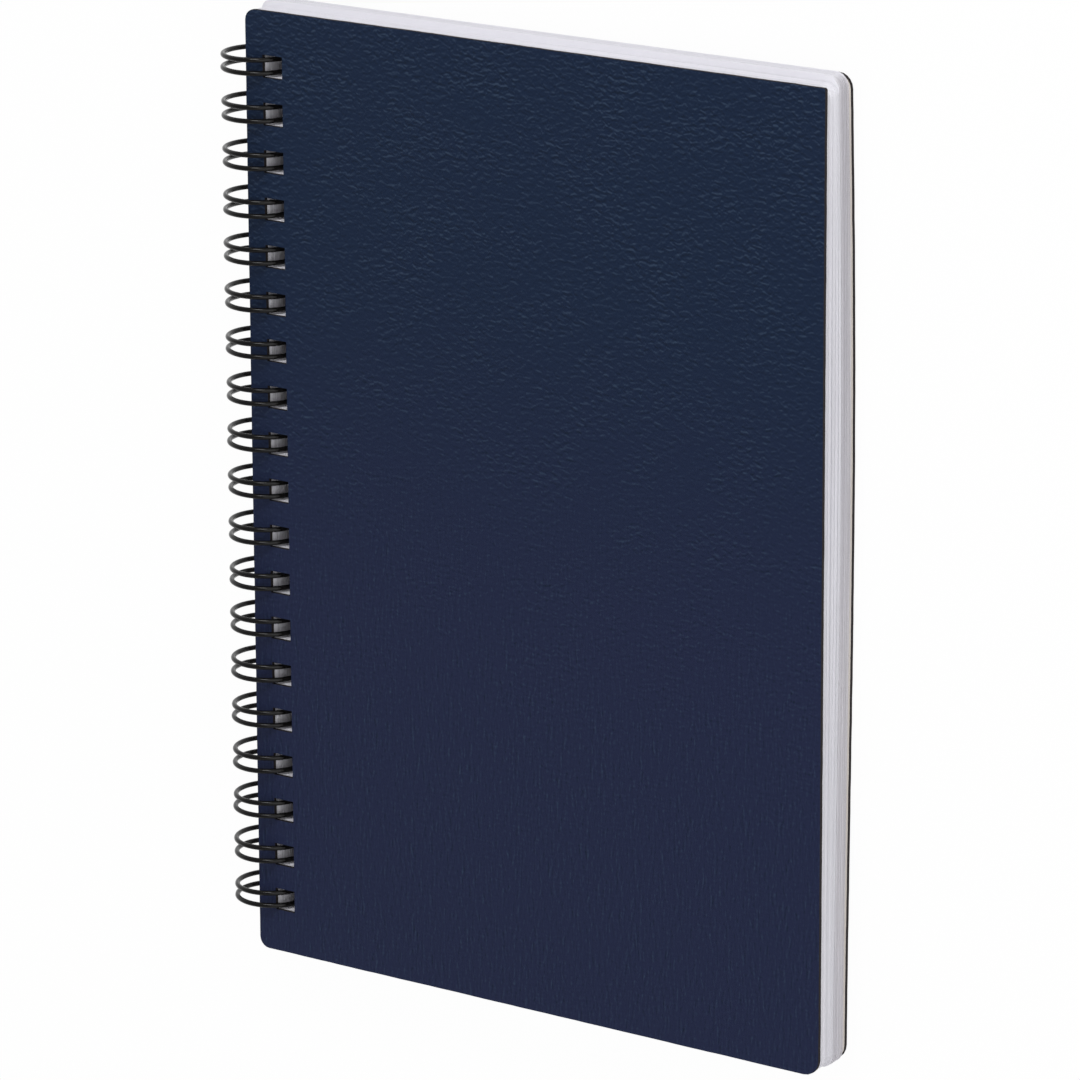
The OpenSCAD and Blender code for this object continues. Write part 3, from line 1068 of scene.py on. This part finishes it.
def photo_camera(stage):
    """The camera, turned and placed as the photographer's was."""
    data = bpy.data.cameras.new("photo_view")
    data.sensor_width = 36.0
    data.lens = stage.lens
    data.clip_end = 50.0
    camera = placed("photo_view", data)
    camera.rotation_euler = Euler((-stage.tilt, stage.turn, -stage.roll), "XYZ")
    stand = Vector((stage.aim_right, stage.aim_up, stage.distance))
    stand.rotate(camera.rotation_euler)
    camera.location = Vector((0, 0, LOOP_CENTRE.z)) + stand
    bpy.context.scene.camera = camera


class NOTEBOOK_OT_stage(bpy.types.Operator):
    """Makes the camera, the lights and the white floor"""

    bl_idname = "notebook.make_stage"
    bl_label = "Stage"

    def execute(self, context):
        stage = context.scene.notebook_stage
        photo_camera(stage)
        floor_reach = 30.0
        corners = [(-1, -1, 0), (1, -1, 0), (1, 1, 0), (-1, 1, 0)]
        mesh = bpy.data.meshes.new("floor")
        mesh.from_pydata([Vector(corner) * floor_reach for corner in corners], [], [(0, 1, 2, 3)])
        mesh.materials.append(white_floor(stage))
        placed("floor", mesh)
        soft_room(stage)
        soft_light("key_from_head", stage.key, direction=(0.12, 0.8, 0.6), distance=0.9, size=0.3)
        soft_light("fill_from_front", stage.fill, direction=(0.7, 0.1, 0.7), distance=1.1, size=0.8)
        context.scene.view_settings.view_transform = "Standard"
        return {"FINISHED"}


class NOTEBOOK_PT_panel(bpy.types.Panel):
    """Lists the pieces that can be made"""

    bl_idname = "NOTEBOOK_PT_panel"
    bl_label = "Twin-loop notebook"
    bl_space_type = "VIEW_3D"
    bl_region_type = "UI"
    bl_category = "Notebook"

    def draw(self, context):
        for operator in OPERATORS:
            self.layout.operator(operator.bl_idname)
        for name in SETTINGS:
            box = self.layout.box()
            group = getattr(context.scene, name)
            for item in group.bl_rna.properties:
                if item.identifier not in ("rna_type", "name"):
                    box.prop(group, item.identifier)


SETTINGS = {
    "notebook_holes": HoleSettings,
    "notebook_wire": WireSettings,
    "notebook_sheets": SheetSettings,
    "notebook_covers": CoverSettings,
    "notebook_stage": StageSettings,
}
OPERATORS = (NOTEBOOK_OT_wire, NOTEBOOK_OT_sheets, NOTEBOOK_OT_covers, NOTEBOOK_OT_stage)


def register():
    """Registers the settings, the operators and the panel."""
    for name, group in SETTINGS.items():
        bpy.utils.register_class(group)
        setattr(bpy.types.Scene, name, PointerProperty(type=group))
    for item in (*OPERATORS, NOTEBOOK_PT_panel):
        bpy.utils.register_class(item)


def unregister():
    """Takes back what register did, in reverse."""
    for item in (NOTEBOOK_PT_panel, *reversed(OPERATORS)):
        bpy.utils.unregister_class(item)
    for name, group in reversed(SETTINGS.items()):
        delattr(bpy.types.Scene, name)
        bpy.utils.unregister_class(group)


def main():
    """Makes the stage and the notebook."""
    register()
    bpy.ops.notebook.make_stage()
    bpy.ops.notebook.make_wire()
    bpy.ops.notebook.make_sheets()
    bpy.ops.notebook.make_covers()


if __name__ == "__main__":
    main()
